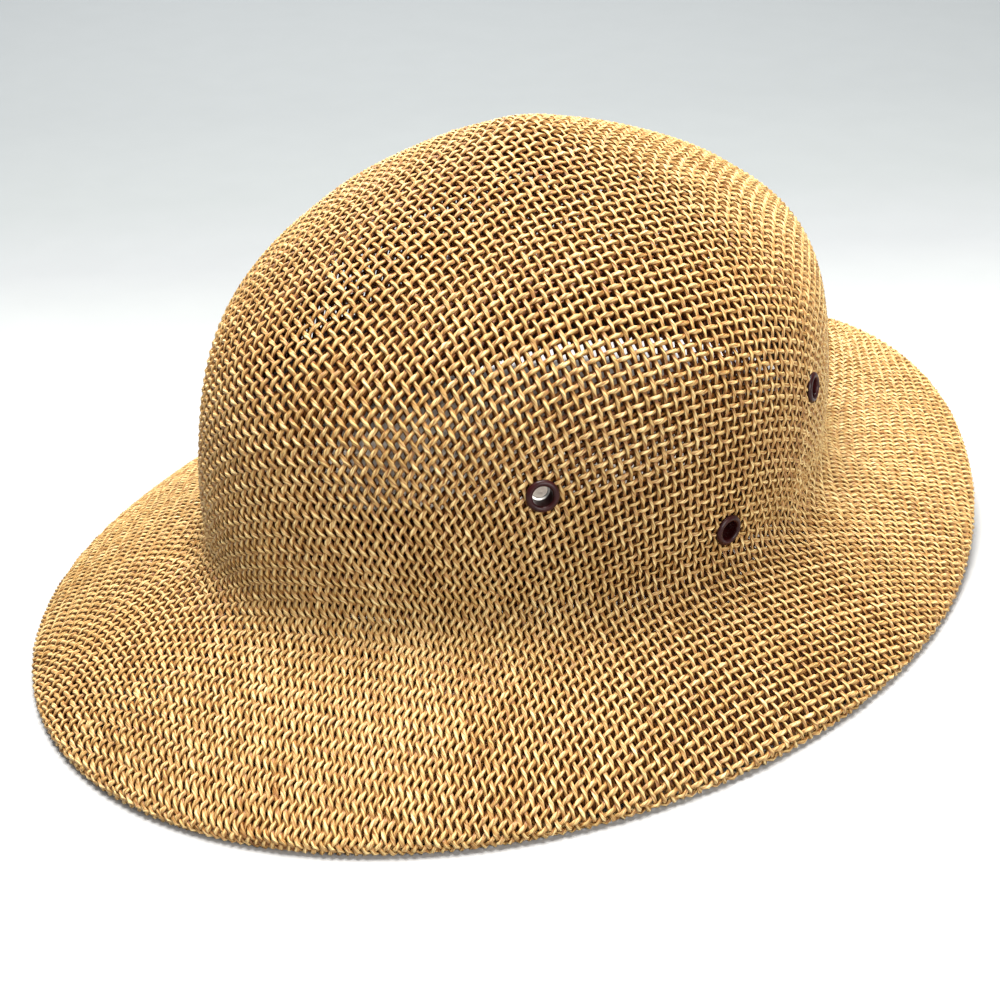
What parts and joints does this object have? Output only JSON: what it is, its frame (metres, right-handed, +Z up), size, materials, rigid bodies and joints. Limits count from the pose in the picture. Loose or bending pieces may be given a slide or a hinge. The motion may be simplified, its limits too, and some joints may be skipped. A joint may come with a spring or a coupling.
{
  "type": "pith helmet",
  "caption": "Sun helmet of two plies of open woven straw mesh with a domed crown, a sloping brim turned under at its rim, enamelled vent eyelets and a dark sweatband.",
  "frame": {"origin": "on the ground under the middle of the rim", "axes": "+Z up, -Y towards the front, +X towards the wearer's left"},
  "size_m": [0.2618, 0.33, 0.143],
  "materials": {
    "straw": "twisted straw cord, open plain weave",
    "lining_straw": "twisted straw cord, open plain weave",
    "band_cloth": "smooth dark band",
    "enamel": "glossy oxblood enamel"
  },
  "bodies": {
    "root": {"outer_mesh": "straw", "inner_mesh": "lining_straw", "sweatband": "band_cloth", "eyelet_left_front": "enamel", "eyelet_left_middle": "enamel", "eyelet_left_back": "enamel", "eyelet_right_front": "enamel", "eyelet_right_middle": "enamel", "eyelet_right_back": "enamel"}
  },
  "joints": []
}
